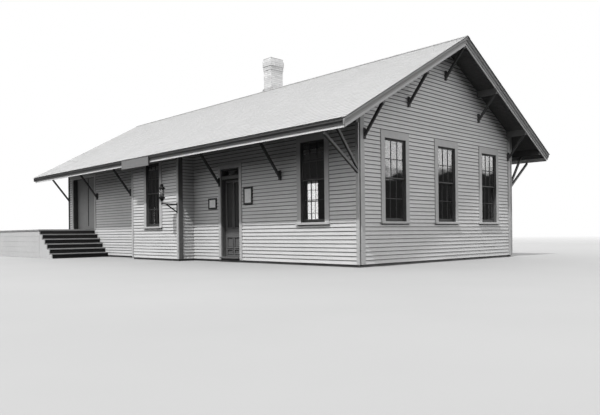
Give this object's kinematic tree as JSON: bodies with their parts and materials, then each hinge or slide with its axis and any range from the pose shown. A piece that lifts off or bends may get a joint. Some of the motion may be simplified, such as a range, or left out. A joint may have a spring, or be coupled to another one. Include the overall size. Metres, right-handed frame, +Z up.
{
  "type": "timber railway station building",
  "caption": "Single-storey clapboarded railway station with a gabled roof on brackets, a square bay, a raised freight platform with steps, and a brick chimney.",
  "frame": {"origin": "middle of the building's plan at ground level, on the underside of the footing that crosses the middle", "axes": "+X along the ridge towards the passenger end, -Y towards the track, +Z up"},
  "size_m": [19.75, 11.11, 7.4],
  "materials": {
    "stone": "rough",
    "floor_boards": "worn",
    "clapboard": "satin paint",
    "trim": "satin paint",
    "sash_paint": "satin paint",
    "window_glass": "clear",
    "dark_door": "satin paint",
    "iron": "matt",
    "brass": "aged",
    "freight_door": "satin paint",
    "soffit": "matt paint",
    "shingle": "weathered",
    "light_trim": "satin paint",
    "dark_trim": "satin paint",
    "brick": "rough",
    "platform_planks": "worn",
    "skirt_paint": "satin paint",
    "lantern": "matt",
    "notice": "matt paper",
    "board_paint": "matt paint"
  },
  "bodies": {
    "building": {"foundation": "stone", "passenger_floor": "floor_boards", "freight_floor": "floor_boards", "freight_floor_bearers": "floor_boards", "front_wall_right": "clapboard", "front_wall_middle": "clapboard", "front_wall_left": "clapboard", "front_wall_end": "clapboard", "front_wall_headers": "clapboard", "bay_front_wall": "clapboard", "bay_side_walls": "clapboard", "near_gable_wall": "clapboard", "far_gable_wall": "clapboard", "back_wall": "clapboard", "corner_boards": "trim", "gable_casings": "trim", "gable_sashes": "sash_paint", "gable_glass": "window_glass", "front_casings": "trim", "front_sashes": "sash_paint", "front_glass": "window_glass", "back_casings": "trim", "back_sashes": "sash_paint", "back_glass": "window_glass", "door_casing": "trim", "door_frame": "trim", "door_transom": "window_glass", "door_hinges": "iron", "freight_door_casing": "trim", "freight_door_rail": "iron", "roof_front_slope": "soffit", "roof_back_slope": "soffit", "roof_shingles": "shingle", "fascia_boards": "light_trim", "rake_boards": "trim", "crown_mouldings": "dark_trim", "lookouts": "trim", "eave_purlins": "dark_trim", "eave_brackets": "dark_trim", "gable_brackets": "dark_trim", "chimney": "brick", "platform_deck": "platform_planks", "platform_front_skirt": "skirt_paint", "platform_bents": "skirt_paint", "platform_ledger": "skirt_paint", "step_treads": "platform_planks", "step_risers": "dark_trim", "step_side_panel": "skirt_paint", "lamp_bracket": "iron", "lantern": "lantern", "notice_boards": "notice", "eave_board": "board_paint"},
    "passenger_door_leaf": {"passenger_door": "dark_door", "door_knob": "brass"},
    "freight_door_leaf": {"freight_door": "freight_door", "freight_door_hangers": "iron"}
  },
  "joints": [
    {"name": "passenger_door_hinge", "type": "hinge", "parent": "building", "child": "passenger_door_leaf", "pos_m": [2.8663, -3.6097, 1.25], "axis": [0, 0, 1], "range_deg": [0, 95]},
    {"name": "freight_door_slide", "type": "slide", "parent": "building", "child": "freight_door_leaf", "axis": [1, 0, 0], "range_m": [0, 1.95]}
  ]
}
